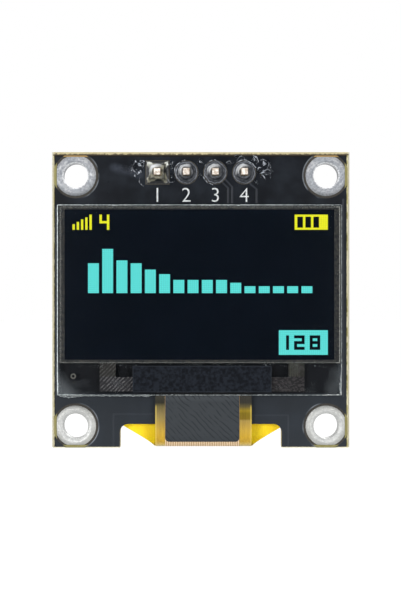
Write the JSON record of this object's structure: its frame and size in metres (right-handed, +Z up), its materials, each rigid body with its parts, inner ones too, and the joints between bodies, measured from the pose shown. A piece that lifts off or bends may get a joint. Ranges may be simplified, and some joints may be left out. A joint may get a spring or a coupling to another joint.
{
  "type": "small oled module",
  "caption": "Small square display module: a glass panel with a lit picture on a black circuit board, with a pin header behind and a folded ribbon.",
  "frame": {"origin": "middle of the four mounting holes, on the front face of the board's core", "axes": "+X to the right and +Z up as the screen is read; the screen looks towards -Y and the header pins point along +Y"},
  "size_m": [0.0262, 0.0113, 0.026],
  "materials": {
    "board_core": "woven glass and epoxy laminate, scored and snapped edges",
    "solder_mask": "black, low gloss",
    "tinned_copper": "solder-levelled",
    "solder": "bright to grey",
    "pin_metal": "plated, cut bright at the front",
    "header_plastic": "moulded",
    "panel_tape": "double-sided foam tape",
    "rear_glass": "etched pocket",
    "drying_sheet": "matt",
    "sealing_bead": "cured resin",
    "electrode_film": "black behind the polarizer",
    "blue_cells": "lit",
    "yellow_cells": "lit",
    "contact_metal": "thin film behind glass",
    "front_glass": "clear, cut edges",
    "polarizer": "neutral grey film",
    "driver_silicon": "polished die",
    "light_shield": "black tape",
    "polyimide": "amber film over copper",
    "cover_patch": "grey-black film",
    "moulding_compound": "moulded, tinned leads",
    "capacitor_ceramic": "fired, tinned ends",
    "resistor_glaze": "glazed, tinned ends"
  },
  "bodies": {
    "root": {"circuit_board": "board_core", "front_solder_mask": "solder_mask", "back_solder_mask": "solder_mask", "mounting_hole_plating_1": "tinned_copper", "mounting_hole_plating_2": "tinned_copper", "mounting_hole_plating_3": "tinned_copper", "mounting_hole_plating_4": "tinned_copper", "header_hole_plating": "tinned_copper", "header_housing": "header_plastic", "header_pin_1": "pin_metal", "header_pin_2": "pin_metal", "header_pin_3": "pin_metal", "header_pin_4": "pin_metal", "solder_joint_1": "solder", "solder_joint_2": "solder", "solder_joint_3": "solder", "solder_joint_4": "solder", "panel_tape": "panel_tape", "rear_glass": "rear_glass", "drying_sheet": "drying_sheet", "sealing_bead": "sealing_bead", "electrode_film": "electrode_film", "blue_cells": "blue_cells", "yellow_cells": "yellow_cells", "contact_metal": "contact_metal", "front_glass": "front_glass", "polarizer": "polarizer", "driver_chip": "driver_silicon", "light_shield": "light_shield", "flex_circuit": "polyimide", "flex_cover": "cover_patch", "flex_lands": "tinned_copper", "flex_solder": "solder", "part_lands": "tinned_copper", "part_solder": "solder", "regulator": "moulding_compound", "diode": "moulding_compound", "capacitor_1": "capacitor_ceramic", "capacitor_2": "capacitor_ceramic", "capacitor_3": "capacitor_ceramic", "capacitor_4": "capacitor_ceramic", "capacitor_5": "capacitor_ceramic", "capacitor_6": "capacitor_ceramic", "capacitor_7": "capacitor_ceramic", "resistor_1": "resistor_glaze", "resistor_2": "resistor_glaze", "resistor_3": "resistor_glaze", "resistor_4": "resistor_glaze", "resistor_5": "resistor_glaze", "resistor_6": "resistor_glaze", "resistor_7": "resistor_glaze"}
  },
  "joints": []
}
